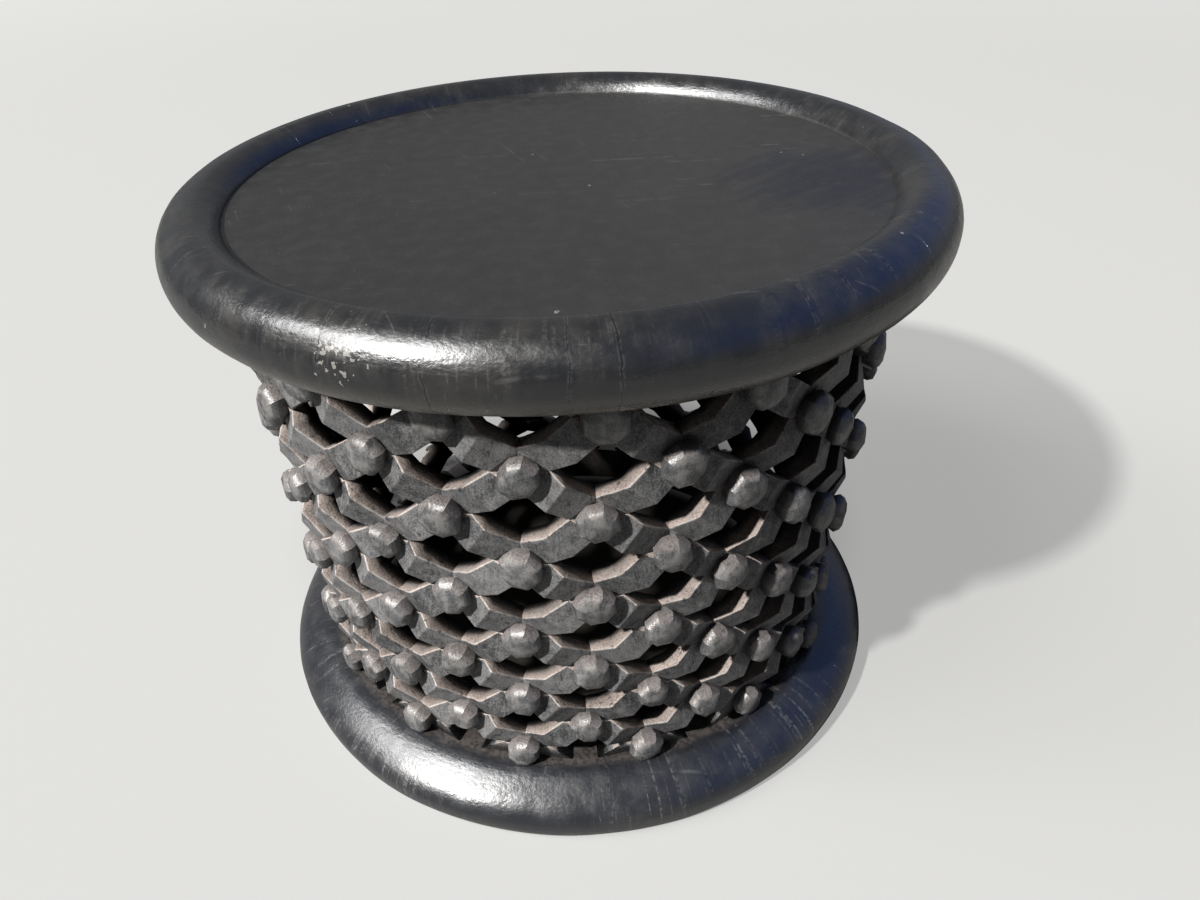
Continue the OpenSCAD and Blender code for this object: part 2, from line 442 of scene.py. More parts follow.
@dataclass(frozen=True)
class PolishedFinish:
    """Black wood of the tray and the base under stain and wax, matt on the tray's floor, with a
    painted sky reflection at the floor's edge and painted bounced light on faces that look down.
    """

    name: str
    black: Colour = rgb(0.0060, 0.0064, 0.0080)
    brown: Colour = rgb(0.0175, 0.0165, 0.0150)
    rub: Colour = rgb(0.080, 0.080, 0.081)
    chip: Colour = rgb(0.220, 0.210, 0.195)
    crack: Colour = rgb(0.002, 0.002, 0.002)
    matt_black: Colour = rgb(0.0082, 0.0082, 0.0084)
    matt_brown: Colour = rgb(0.0200, 0.0189, 0.0176)
    # Painted reflection: blue sky mirrored on the tray floor's edge.
    painted_sky_reflection: Colour = rgb(0.0046, 0.0052, 0.0090)
    # Painted light: the floor's light bounced onto faces that look down.
    painted_floor_bounce: Colour = rgb(0.055, 0.050, 0.035)
    dust: Colour = rgb(0.075, 0.064, 0.057)
    matt_height: float = NOWHERE
    matt_radius: float = 252 * MM
    # Middle of the painted sky reflection on the tray's floor.
    sky_reflection_spot: Point = (0.212, -0.030, 0.4433)
    chipped_spot: Point = (-0.1253, -0.2684, 0.4433)
    dust_radius: float = NOWHERE
    crown: float = 0.0
    crown_from: Range = (232 * MM, 270 * MM)
    roughness: float = 0.29
    gloss: float = 0.8
    wax: float = 0.35
    wax_roughness: float = 0.24
    cracks_round: float = 42.0
    scratches: float = 0.4
    scuffs: float = 0.14
    cloud_scale: float = 13.0
    mottle_scale: float = 70.0
    skin_scale: float = 300.0
    flake_scale: float = 260.0
    speck_scale: float = 70.0
    speck_shake: float = 6 * MM

    def matt(self, g: Graph, height: Socket, radius: Socket) -> Socket:
        """1 on the tray's flat floor and 0 elsewhere."""
        level = self.matt_height
        return g.times(g.spread(height, level + 0.4 * MM, level + 3 * MM, 1.0, 0.0),
                       g.spread(height, level - 3 * MM, level - 1 * MM),
                       g.spread(radius, self.matt_radius, self.matt_radius + 3 * MM, 1.0, 0.0))

    def scratched(self, g: Graph, point: Socket, mottle: Socket) -> Socket:
        """Long fine scratches in two directions.

        Args:
            g: The material's graph.
            point: The point.
            mottle: A cloudy pattern that breaks them up.

        Returns:
            1 on a scratch.
        """
        first = g.noise(g.stretch(point, (7, 300, 50)), 1, 2, 14.0)
        second = g.noise(g.stretch(g.turned(point, 1.2), (6, 380, 50)), 1, 2, 15.0)
        strokes = g.math("MAXIMUM", g.spread(first, 0.64, 0.74), g.spread(second, 0.66, 0.75))
        return g.times(strokes, g.spread(mottle, 0.42, 0.6))

    def specks(self, g: Graph, point: Socket) -> Socket:
        """A few small chipped specks.

        Args:
            g: The material's graph.
            point: The point.

        Returns:
            1 on a speck.
        """
        rough = g.node("ShaderNodeTexNoise", {"Vector": point, "Scale": 420.0}).outputs[1]
        shaken = g.vector("ADD", point, g.stretch(rough, (self.speck_shake,) * 3))
        cells = g.node("ShaderNodeTexVoronoi", {"Vector": shaken, "Scale": self.speck_scale})
        lot = g.node("ShaderNodeSeparateColor", {0: cells.outputs["Color"]}).outputs
        size = g.spread(lot[1], 0.0, 1.0, 0.03, 0.11)
        return g.times(g.math("LESS_THAN", cells.outputs["Distance"], size),
                       g.spread(lot[0], 0.95, 0.97))

    def flakes(self, g: Graph, point: Socket) -> Socket:
        """Flakes that are off round the chipped spot on the rim.

        Args:
            g: The material's graph.
            point: The point.

        Returns:
            1 where a flake is off.
        """
        away = g.measure("DISTANCE", point, self.chipped_spot)
        zone = g.spread(away, 8 * MM, 28 * MM, 1.0, 0.0)
        off = g.plus(g.noise(point, self.flake_scale, 2, 31.0), g.times(zone, 0.14))
        return g.times(g.spread(off, 0.70, 0.72), g.spread(zone, 0.0, 0.1))

    def floor_colour(self, g: Graph, point: Socket, clouds: Socket) -> Socket:
        """The tray's floor: browner to the right, with a streaky painted reflection of blue sky at
        its edge.

        Args:
            g: The material's graph.
            point: The point.
            clouds: A broad cloudy pattern.

        Returns:
            The floor's colour.
        """
        browner = g.spread(g.split(point)[0], -0.25, 0.25, -0.10, 0.55)
        worn = g.plus(g.times(clouds, 0.6), browner)
        # Painted reflection: a streaky patch of blue sky at the floor's edge.
        streaks = g.noise(g.stretch(g.turned(point, -0.7), (16, 110, 1)), 1, 3, 18.0)
        away = g.plus(g.measure("DISTANCE", point, self.sky_reflection_spot), g.times(streaks, 0.16))
        return g.blend(g.spread(away, 0.100, 0.180, 0.75, 0.0),
                       g.blend(worn, self.matt_black, self.matt_brown), self.painted_sky_reflection)

    def material(self) -> Material:
        """Builds the material.

        Returns:
            The material.
        """
        made, g = new_material(self.name)
        point = g.place()
        flat = g.vector("NORMALIZE", g.stretch(point, (1, 1, 0)))
        axes, radius = g.split(point), g.off_axis(point)
        matt = self.matt(g, axes[2], radius)
        glossy = g.rest(matt)

        def round_about(along: float, rise: float, seed: float) -> Socket:
            """A pattern scaled by along round the piece and by rise up its side."""
            up = g.stretch(point, (0, 0, rise))
            return g.noise(g.vector("ADD", g.stretch(flat, (along, along, 1)), up), 1, 2, seed)

        clouds = g.noise(point, self.cloud_scale, 3, 11.0)
        mottle = g.noise(point, self.mottle_scale, 4, 12.0)
        skin = g.noise(g.stretch(point, (1, 1, 1.8)), self.skin_scale, 3, 13.0)

        cloudy = g.spread(g.plus(g.times(clouds, 0.6), g.times(mottle, 0.4)), 0.44, 0.66)
        colour = g.blend(matt, g.blend(cloudy, self.black, self.brown),
                         self.floor_colour(g, point, clouds))
        # Painted light: faces that look down take the floor's bounced light.
        below = g.spread(g.split(g.normal())[2], -0.75, -0.10, 0.8, 0.0)
        colour = g.blend(below, colour, self.painted_floor_bounce)
        strokes = self.scratched(g, point, mottle)
        colour = g.blend(g.times(strokes, self.scratches), colour, self.rub)
        scuff = g.times(g.spread(round_about(120, 12, 21.0), 0.52, 0.66),
                        g.spread(clouds, 0.40, 0.60), g.spread(skin, 0.40, 0.60), glossy)
        colour = g.blend(g.times(scuff, self.scuffs), colour, self.rub)

        azimuth = g.math("ARCTAN2", axes[1], axes[0])
        wavy = g.plus(g.times(azimuth, self.cracks_round / math.tau),
                      g.times(round_about(14, 60, 16.0), 0.22))
        lines = g.node("ShaderNodeTexVoronoi", {"W": wavy, "Scale": 1.0}, voronoi_dimensions="1D")
        away = lines.outputs["Distance"]
        lot = g.node("ShaderNodeSeparateColor", {0: lines.outputs["Color"]}).outputs
        reach = g.times(g.spread(round_about(9, 26, 17.0), 0.47, 0.53),
                        g.math("GREATER_THAN", lot[0], 0.25), glossy)
        wide = g.spread(lot[1], 0.0, 1.0, 0.006, 0.014)
        split = g.times(g.math("LESS_THAN", away, wide), reach)
        beside = g.times(g.spread(away, 0.014, 0.05, 1.0, 0.0), reach,
                         g.spread(skin, 0.44, 0.56), 0.30)
        colour = g.blend(beside, colour, self.rub)
        colour = g.blend(g.times(split, 0.92), colour, self.crack)

        colour = g.blend(g.times(self.specks(g, point), 0.7), colour, self.chip)
        edge = g.plus(radius, g.times(mottle, 14 * MM))
        dusty = g.times(g.spread(edge, self.dust_radius + 5 * MM, self.dust_radius + 13 * MM,
                                 0.8, 0.0), g.spread(skin, 0.36, 0.60, 0.3, 1.0))
        colour = g.blend(dusty, colour, self.dust)
        colour = g.blend(g.times(self.flakes(g, point), 0.85), colour, self.chip)

        relief = g.bump(mottle, 1.5 * MM, 0.30)
        relief = g.bump(g.spread(radius, *self.crown_from, 1.0, 0.0), self.crown, 1.0, relief)
        relief = g.bump(skin, 0.45 * MM, 0.55, relief)
        around = g.vector("ADD", g.stretch(flat, (26, 26, 0)),
                          g.joined(z=g.times(g.plus(radius, axes[2]), 620)))
        relief = g.bump(g.noise(around, 1, 2, 22.0), 0.35 * MM, 0.5, relief)
        relief = g.bump(g.rest(split), 0.9 * MM, 0.7, relief)
        rough = g.plus(g.spread(mottle, 0.3, 0.7, self.roughness - 0.06, self.roughness + 0.08),
                       g.times(g.math("MAXIMUM", strokes, scuff), 0.12), g.times(matt, 0.18))
        shader = g.node("ShaderNodeBsdfPrincipled", {
            "Base Color": colour, "Roughness": rough, "Normal": relief,
            "Specular IOR Level": self.gloss, "Coat Weight": g.times(glossy, self.wax),
            "Coat Roughness": self.wax_roughness, "Coat Normal": relief})
        g.node("ShaderNodeOutputMaterial", {0: shader.outputs[0]})
        return made


def stand(name: str, data: bpy.types.ID) -> Piece:
    """Makes an object of some data and stands it in the scene.

    Args:
        name: Name of the object.
        data: Its mesh, light or camera.

    Returns:
        The object.
    """
    made = bpy.data.objects.new(name, data)
    bpy.context.scene.collection.objects.link(made)
    return made


class Tree:
    """A Geometry Nodes tree with named inputs."""

    def __init__(self, name: str, inputs: dict[str, str]) -> None:
        """Makes the tree.

        Args:
            name: Its name.
            inputs: The kind of each input socket, by name.
        """
        self.group = bpy.data.node_groups.new(name, "GeometryNodeTree")
        self.graph = Graph(self.group)
        sockets = self.group.interface
        sockets.new_socket("Geometry", in_out="OUTPUT", socket_type="NodeSocketGeometry")
        self.keys = {}
        for label, kind in inputs.items():
            made = sockets.new_socket(label, in_out="INPUT", socket_type="NodeSocket" + kind)
            self.keys[label] = made.identifier
        self.given = self.graph.node("NodeGroupInput").outputs

    def finish(self, shape: Socket) -> None:
        """Ends the tree in plain geometry with its material.

        Args:
            shape: The geometry.
        """
        real = self.graph.first("GeometryNodeRealizeInstances", {0: shape})
        feeds = {"Geometry": real, "Material": self.given["Finish"]}
        dressed = self.graph.node("GeometryNodeSetMaterial", feeds)
        self.graph.node("NodeGroupOutput", {0: dressed.outputs[0]})

    def apply(self, name: str, mesh: Mesh, values: dict[str, object]) -> Piece:
        """Runs the tree on a mesh.

        Args:
            name: Name of the finished piece.
            mesh: What goes into the tree.
            values: The tree's inputs, by name.

        Returns:
            The piece as a plain mesh, with no modifier left.
        """
        piece = stand(name, mesh)
        modifier = piece.modifiers.new("nodes", "NODES")
        modifier.node_group = self.group
        for label, value in values.items():
            modifier[self.keys[label]] = value
        depsgraph = bpy.context.evaluated_depsgraph_get()
        result = bpy.data.meshes.new_from_object(
            piece.evaluated_get(depsgraph), preserve_all_data_layers=True, depsgraph=depsgraph)
        piece.modifiers.clear()
        piece.data = result
        result.name = name
        bpy.data.meshes.remove(mesh)
        return piece


class RingTree(Tree):
    """Sets one carved shape round the drum in equal steps and makes each copy a little uneven."""

    top_hold = (380 * MM, 400 * MM)
    foot_hold = (43 * MM, 60 * MM)
    broad_scale = 14.0
    close_scale = 55.0
    close_share = 0.45
    rocking = 2.5

    def __init__(self) -> None:
        """Builds the tree's nodes."""
        super().__init__("ring_of_carvings", {
            "Geometry": "Geometry", "Count": "Int", "Step": "Float", "Start": "Float",
            "Radius": "Float", "Height": "Float", "Size Spread": "Float", "Turn Spread": "Float",
            "Unevenness": "Float", "Seed": "Int", "Finish": "Material"})
        g, given = self.graph, self.given
        count = g.first("GeometryNodeInputIndex")
        azimuth = g.plus(given["Start"], g.times(count, given["Step"]))
        spot = g.joined(g.times(g.math("COSINE", azimuth), given["Radius"]),
                        g.times(g.math("SINE", azimuth), given["Radius"]), given["Height"])
        points = g.first("GeometryNodePoints", {"Count": given["Count"], "Position": spot})

        def chance(spread: Socket, middle: float, offset: int) -> Socket:
            """A random number round a middle, for each copy."""
            limits = {2: g.minus(middle, spread), 3: g.plus(middle, spread),
                      "Seed": g.plus(given["Seed"], offset)}
            return g.node("FunctionNodeRandomValue", limits, data_type="FLOAT").outputs[1]

        turn = g.joined(chance(g.times(given["Turn Spread"], self.rocking), 0.0, 1),
                        chance(given["Turn Spread"], 0.0, 2), azimuth)
        copies = g.first("GeometryNodeInstanceOnPoints", {
            "Points": points, "Instance": given["Geometry"],
            "Rotation": g.first("FunctionNodeEulerToRotation", {0: turn}),
            "Scale": chance(given["Size Spread"], 1.0, 3)})
        feeds = {"Geometry": copies, "Name": "tone", "Value": chance(0.5, 0.5, 0)}
        toned = g.first("GeometryNodeStoreNamedAttribute", feeds, data_type="FLOAT",
                        domain="INSTANCE")
        real = g.first("GeometryNodeRealizeInstances", {0: toned})

        here = g.first("GeometryNodeInputPosition")
        high = g.split(here)[2]
        hold = g.times(g.spread(high, *self.top_hold, 1.0, 0.0), g.spread(high, *self.foot_hold))

        def stray(scale: float) -> Socket:
            """A random direction that changes with the place."""
            waves = g.node("ShaderNodeTexNoise", {"Vector": here, "Scale": scale, "Detail": 1.0})
            return g.vector("SUBTRACT", waves.outputs["Color"], (0.5, 0.5, 0.5))

        dent = g.stretch(stray(self.close_scale), (self.close_share,) * 3)
        move = g.scaled(g.vector("ADD", stray(self.broad_scale), dent),
                        g.times(hold, given["Unevenness"], 2.0))
        feeds = {"Geometry": real, "Offset": move}
        self.finish(g.first("GeometryNodeSetPosition", feeds))


@dataclass
class Turning:
    """One piece that is turned about the Z axis, and the CAD node that it stands for."""

    name: str
    node: str
    section: Section
    seed: float
    steady: float = 0.0
    unevenness: float = 0.0
    closed: bool = True


class SpunTree(Tree):
    """Turns a row of section points about the Z axis into a closed ring or disc."""

    steps = 288
    swell_scale = 9.0
    sharp_angle = 0.7

    def __init__(self) -> None:
        """Builds the tree's nodes."""
        super().__init__("turned_section", {
            "Geometry": "Geometry", "Section Points": "Int", "Steps": "Int", "Unevenness": "Float",
            "Steady Radius": "Float", "Seed": "Float", "Finish": "Material"})
        g, given = self.graph, self.given
        feeds = {"Vertices X": g.plus(given["Steps"], 1.0), "Vertices Y": given["Section Points"]}
        sheet = g.first("GeometryNodeMeshGrid", feeds)
        index = g.first("GeometryNodeInputIndex")
        along = g.math("MODULO", index, given["Section Points"])
        step = g.math("FLOOR", g.math("DIVIDE", g.plus(index, 0.25), given["Section Points"]))
        angle = g.times(g.math("DIVIDE", step, given["Steps"]), math.tau)
        here = g.first("GeometryNodeInputPosition")
        feeds = {"Geometry": given["Geometry"], "Value": here, "Index": along}
        sample = g.first("GeometryNodeSampleIndex", feeds, data_type="FLOAT_VECTOR", domain="POINT")
        feeds = {"Geometry": sheet, "Position": g.turned(sample, angle)}
        shape = g.first("GeometryNodeSetPosition", feeds)
        feeds = {"Geometry": shape, "Distance": 0.01 * MM}
        shape = g.first("GeometryNodeMergeByDistance", feeds)
        shape = g.first("GeometryNodeFlipFaces", {0: shape})
        outward = g.first("GeometryNodeInputNormal")
        feeds = {"Vector": here, "W": given["Seed"], "Scale": self.swell_scale, "Detail": 2.0}
        swell = g.node("ShaderNodeTexNoise", feeds, noise_dimensions="4D").outputs["Fac"]
        level = g.math("ABSOLUTE", g.split(outward)[2])
        out = g.minus(g.off_axis(here), given["Steady Radius"])
        shave = g.times(g.spread(swell, 0.32, 0.72), given["Unevenness"],
                        g.spread(level, 0.9, 0.999, 1.0, 0.0), g.spread(out, 0.5 * MM, 9 * MM))
        feeds = {"Geometry": shape, "Offset": g.scaled(outward, g.times(shave, -1.0))}
        shape = g.first("GeometryNodeSetPosition", feeds)
        self.finish(g.first("GeometryNodeSetShadeSmooth", {0: shape}))

    def turn(self, turning: Turning, finish: Material) -> Piece:
        """Turns a section about the Z axis.

        Args:
            turning: The piece to turn.
            finish: Its material.

        Returns:
            The piece, with its sharp edges marked.
        """
        points = [Vector((r, 0.0, z)) for r, z in turning.section]
        if turning.closed:
            points.append(points[0].copy())
        mesh = bpy.data.meshes.new(turning.name)
        mesh.from_pydata(points, [], [])
        piece = self.apply(turning.name, mesh, {
            "Section Points": len(points), "Steps": self.steps, "Unevenness": turning.unevenness,
            "Steady Radius": turning.steady, "Seed": turning.seed, "Finish": finish})
        bm = bmesh.new()
        bm.from_mesh(piece.data)
        bmesh.ops.recalc_face_normals(bm, faces=bm.faces)
        for edge in bm.edges:
            joined = len(edge.link_faces) == 2
            edge.smooth = joined and edge.calc_face_angle() < self.sharp_angle
        bm.to_mesh(piece.data)
        bm.free()
        return piece


def settle(piece: Piece, slot: str, *nodes: str) -> None:
    """Hands a finished piece to the frame.

    Args:
        piece: The finished piece, a plain mesh at the origin.
        slot: The record's material slot; not used.
        nodes: The CAD nodes that it stands for.
    """
    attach(piece, "root")
    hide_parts(*nodes)
    log.info("%s: %d faces, for %s", piece.name, len(piece.data.polygons), ", ".join(nodes))


def aside(spot: Vector, corners: Sequence[Vector], pair: tuple[int, int]) -> float:
    """How far a spot lies from the edge between a pair of corners.

    Args:
        spot: The spot.
        corners: All the corners.
        pair: Numbers of the edge's corners.

    Returns:
        The distance in metres.
    """
    nearest, share = intersect_point_line(spot, corners[pair[0]], corners[pair[1]])
    if not 0 <= share <= 1:
        nearest = corners[pair[0]] if share < 0 else corners[pair[1]]
    return (spot - nearest).length


def chamfer(bm: bmesh.types.BMesh, edges: Sequence[bmesh.types.BMEdge], width: float,
            segments: int) -> list[bmesh.types.BMFace]:
    """Rounds or splits edges and gives the new faces."""
    return bmesh.ops.bevel(bm, geom=edges, offset=width, offset_type="OFFSET", segments=segments,
                           profile=0.5, affect="EDGES", clamp_overlap=True)["faces"]


def solid(name: str, corners: Sequence[Vector], faces: Sequence[Sequence[int]],
          wear: dict[tuple[int, int], float], cracks: Sequence[tuple[int, int]],
          plan: DrumPlan) -> Mesh:
    """One hewn solid with worn edges.

    Args:
        name: Name of the mesh.
        corners: Its corners.
        faces: Its faces as corner numbers.
        wear: How much paler each rounded edge is rubbed, by its pair of corners.
        cracks: Pairs of corners whose edge is opened into a fine crack.
        plan: The drum's plan, with the width of a rubbed edge and a crack's side.

    Returns:
        The mesh, whose faces carry worn: up to 1 on the rubbed edges, -1 in the cracks.
    """
    bm = bmesh.new()
    verts = [bm.verts.new(corner) for corner in corners]
    for face in faces:
        bm.faces.new([verts[i] for i in face])
    bmesh.ops.recalc_face_normals(bm, faces=bm.faces)
    layer = bm.faces.layers.float.new("worn")
    soft, fine = [[edge for a, b in pairs if (edge := bm.edges.get((verts[a], verts[b])))]
                  for pairs in (wear, cracks)]
    for face in chamfer(bm, soft, plan.edge_round, 2):
        middle = face.calc_center_median()
        face[layer] = wear[min(wear, key=lambda pair: aside(middle, corners, pair))]
    fine = [edge for edge in fine if edge.is_valid]
    if fine:
        for face in chamfer(bm, fine, plan.crack, 1):
            face[layer] = -1.0
    for face in bm.faces:
        face.smooth = True
    mesh = bpy.data.meshes.new(name)
    bm.to_mesh(mesh)
    bm.free()
    return mesh


@dataclass
class Carvings:
    """A ring of alike carvings round the drum, which stands for one CAD node."""

    cut = "carved"
    plan: DrumPlan

    @property
    def node(self) -> str:
        """The CAD node that these carvings stand for."""
        raise NotImplementedError

    def carving(self) -> Mesh:
        """One carving, in its own place, or along +X if the ring gets a radius."""
        raise NotImplementedError

    def inputs(self) -> dict[str, Union[int, float]]:
        """The seed, and those of the ring tree's inputs that aren't 0."""
        raise NotImplementedError

    def build(self, ring: RingTree, finish: Material) -> Piece:
        """Carves the ring.

        Args:
            ring: The tree that sets the carvings round the drum.
            finish: Their material.

        Returns:
            The piece.
        """
        plan, mesh = self.plan, self.carving()
        values = dict.fromkeys(("Start", "Radius", "Height", "Size Spread", "Turn Spread"), 0.0)
        values.update(self.inputs(), Count=plan.columns, Step=math.tau / plan.columns,
                      Unevenness=plan.unevenness, Finish=finish)
        return ring.apply(f"{self.cut}_{self.node}", mesh, values)

    def dress(self, piece: Piece) -> None:
        """Hands the piece over."""
        settle(piece, "carved_wood", self.node)


class HewnCarvings(Carvings):
    """Carvings with flat hewn faces."""

    def dress(self, piece: Piece) -> None:
        """Keeps the hewn faces flat and hands the piece over."""
        piece.modifiers.new("flat faces", "WEIGHTED_NORMAL").weight = 80
        super().dress(piece)


@dataclass
class BarTier(HewnCarvings):
    """The fifteen bars of one tier that lean to one side."""

    tier: int
    lean: Lean

    @property
    def node(self) -> str:
        """The CAD node that these bars stand for."""
        return f"tier_{self.tier:02d}_{self.lean.name.lower()}_bars"

    def corners(self) -> list[Vector]:
        """The sixteen corners of the first bar, the outer eight first.

        Returns:
            The corners, from the upper crossing's top round each face.
        """
        plan, side = self.plan, self.lean.value
        top = plan.azimuth(self.tier)
        low = top + side * plan.half_pitch + plan.column_drift
        turn = side * plan.crossing_half_angle
        zu, zl = plan.height(self.tier), plan.height(self.tier + 1)
        ru, rl = plan.neck(zu), plan.neck(zl)
        iu, il = ru - plan.wall, rl - plan.wall
        right = self.lean is Lean.RIGHT
        at_top = plan.right_knee_along_top if right else plan.left_knee_along_top
        at_bottom = plan.knee_along_bottom
        knee_top = top + between(turn, low - top, at_top)
        knee_bottom = top + between(0, low - top - turn, at_bottom)
        up, down = zl + plan.half_up(self.tier + 1), zu - plan.half_down(self.tier)
        zt, zb = between(zu, up, at_top), between(down, zl, at_bottom)
        rise, taper = plan.knee_rise, plan.inner_taper
        return [
            polar(ru, top, zu), on_flat(ru, top, turn, zu),
            polar(between(ru, rl, at_top) + rise, knee_top, zt), polar(rl, low, up),
            polar(rl, low, zl), on_flat(rl, low, -turn, zl),
            polar(between(ru, rl, at_bottom) + rise, knee_bottom, zb), polar(ru, top, down),
            polar(iu, top, zu), polar(iu, top + turn, zu),
            polar(between(iu, il, at_top), knee_top, zt - taper), polar(il, low, up),
            polar(il, low, zl), polar(il, low - turn, zl),
            polar(between(iu, il, at_bottom), knee_bottom, zb + taper), polar(iu, top, down),
        ]

    def inputs(self) -> dict[str, int]:
        """The bars' seed."""
        return {"Seed": 10 * self.tier + self.lean.value}

    def carving(self) -> Mesh:
        """One bar, with its upper edges rubbed.

        Returns:
            The bar's mesh.
        """
        outer = [(0, 1, 7), (1, 2, 6, 7), (2, 3, 5, 6), (3, 4, 5)]
        inner = [tuple(i + 8 for i in reversed(face)) for face in outer]
        sides = [(i, i + 8, (i + 1) % 8 + 8, (i + 1) % 8) for i in range(8)]
        wear = {(1, 2): 1.0, (2, 3): 0.8, (7, 6): 0.15, (6, 5): 0.15, (2, 6): 0.1}
        return solid(self.node, self.corners(), outer + inner + sides, wear, [(3, 4)], self.plan)


@dataclass
class LugRing(HewnCarvings):
    """The fifteen lugs at one end of the drum, where the bars run into the tray or the base."""

    end: End
    rise_share: float = 0.45

    @property
    def node(self) -> str:
        """The CAD node that these lugs stand for."""
        return "drum_crown" if self.end is End.TRAY else "drum_foot"

    def corners(self) -> list[Vector]:
        """The ten corners of the first lug, the outer five first.

        Returns:
            The corners, from the crossing's left round each face.
        """
        plan, up = self.plan, self.end is End.TRAY
        row = 1 if up else plan.rows
        z, stop = plan.height(row), plan.tray_underside if up else plan.base_top
        turn, azimuth = plan.crossing_half_angle, plan.azimuth(row)
        beyond = plan.mean_pitch(row) * plan.pitch_growth ** self.end.value
        run = abs(stop - z) / (beyond * (1 - plan.crossing_share))
        spread = between(turn, plan.half_pitch, run)
        r, inside, end_inside = plan.neck(z), plan.neck(z) - plan.wall, plan.neck(stop) - plan.wall
        out = r + self.rise_share * plan.knee_rise
        return [
            on_flat(r, azimuth, -turn, z), on_flat(r, azimuth, turn, z),
            polar(out, azimuth + spread, stop), polar(r, azimuth, stop),
            polar(out, azimuth - spread, stop),
            polar(inside, azimuth - turn, z), polar(inside, azimuth + turn, z),
            polar(end_inside, azimuth + spread, stop), polar(end_inside, azimuth, stop),
            polar(end_inside, azimuth - spread, stop),
        ]

    def inputs(self) -> dict[str, int]:
        """The lugs' seed."""
        return {"Seed": 200 + self.end.value}

    def carving(self) -> Mesh:
        """One lug, with its side edges rubbed.

        Returns:
            The lug's mesh.
        """
        faces = [(0, 3, 1), (1, 3, 2), (0, 4, 3), (5, 6, 8), (6, 7, 8), (5, 8, 9), (0, 1, 6, 5),
                 (1, 2, 7, 6), (2, 3, 8, 7), (3, 4, 9, 8), (4, 0, 5, 9)]
        wear = {(1, 2): 0.5, (0, 4): 0.5, (0, 3): 0.2, (1, 3): 0.2}
        return solid(self.node, self.corners(), faces, wear, [], self.plan)


@dataclass
class KnobRow(Carvings):
    """The fifteen whittled knobs of one row of crossings."""

    cut = "whittled"
    row: int
    sides: int = 8
    reach: float = 14.0 * MM
    head: float = 15.4 * MM
    least_head: float = 0.55
    full_crossing: float = 32 * MM
    root: float = 0.9
    sink: float = 3 * MM
    droop: float = 1 * MM
    tip: Range = (0.8 * MM, 0.6 * MM)
    rubbed_from: float = 0.85
    rubbing: float = 0.35
    size_spread: float = 0.06
    turn_spread: float = 0.10

    @property
    def node(self) -> str:
        """The CAD node that these knobs stand for."""
        return f"knobs_row_{self.row:02d}"

    def rings(self, bm: bmesh.types.BMesh) -> list[list[bmesh.types.BMVert]]:
        """The rings of corners from the root to the head.

        Args:
            bm: The mesh that gets the corners.

        Returns:
            The rings, each with its corners in order.
        """
        plan, chance = self.plan, random.Random(self.row)
        wide = plan.neck(plan.height(self.row)) * math.tan(math.radians(plan.crossing_half_angle))
        up, down = plan.half_up(self.row), plan.half_down(self.row)
        head = self.head * between(self.least_head, 1.0, (up + down) / self.full_crossing)
        # Each station's length, roundness and width.
        stations = [(-self.sink, 0.0, 1.0), (0.05, 0.25, 1.0), (0.46, 1.0, 1.0),
                    (0.78, 1.0, 0.86), (0.95, 1.0, 0.58)]
        facets = [1 + chance.uniform(-0.07, 0.05) for _ in range(self.sides)]
        rings = []
        for along, roundness, width in stations:
            ring = []
            for side in range(self.sides):
                angle = math.tau * (side + 0.5) / self.sides
                c, s = math.cos(angle), math.sin(angle)
                root = self.root / (abs(c) / wide + abs(s) / (up if s > 0 else down))
                full = head * facets[side] * chance.uniform(0.97, 1.03)
                radius = between(root, full, roundness) * width
                x = along if along < 0 else along * self.reach * chance.uniform(0.97, 1.02)
                z = radius * s - self.droop * max(along, 0.0)
                ring.append(bm.verts.new((x, radius * c, z)))
            rings.append(ring)
        return rings

    def carving(self) -> Mesh:
        """One knob along +X: a root that fills its crossing, then a blunt round head.

        Returns:
            The knob's mesh.
        """
        bm = bmesh.new()
        rings, sharp = self.rings(bm), []
        for first, second in zip(rings, rings[1:]):
            for i in range(self.sides):
                n = (i + 1) % self.sides
                bm.faces.new((first[i], first[n], second[n], second[i]))
                sharp.append((first[i], second[i]))
        tip = bm.verts.new((self.reach, self.tip[0], self.tip[1] - self.droop))
        for i in range(self.sides):
            bm.faces.new((rings[-1][i], rings[-1][(i + 1) % self.sides], tip))
        bm.faces.new(list(reversed(rings[0])))
        layer = bm.faces.layers.float.new("worn")
        for face in bm.faces:
            face.smooth = True
            at_tip = face.calc_center_median().x > self.rubbed_from * self.reach
            face[layer] = self.rubbing if at_tip else 0.0
        for pair in sharp:
            bm.edges.get(pair).smooth = False
        bmesh.ops.recalc_face_normals(bm, faces=bm.faces)
        mesh = bpy.data.meshes.new(self.node)
        bm.to_mesh(mesh)
        bm.free()
        return mesh

    def inputs(self) -> dict[str, Union[int, float]]:
        """The knobs' seed, place and spreads."""
        height = self.plan.height(self.row)
        return {"Seed": 300 + self.row, "Start": math.radians(self.plan.azimuth(self.row)),
                "Radius": self.plan.neck(height), "Height": height,
                "Size Spread": self.size_spread, "Turn Spread": self.turn_spread}


class Turned:
    """A sub-assembly of turned pieces."""

    def turnings(self) -> list[Turning]:
        """Its pieces."""
        raise NotImplementedError

    def build(self, spun: SpunTree, finish: Material) -> list[Piece]:
        """Turns the pieces, each with its sharp edges marked."""
        return [spun.turn(turning, finish) for turning in self.turnings()]

    def dress(self, pieces: Sequence[Piece]) -> None:
        """Hands the pieces over."""
        for piece, turning in zip(pieces, self.turnings()):
            settle(piece, "ebonised_wood", turning.node)


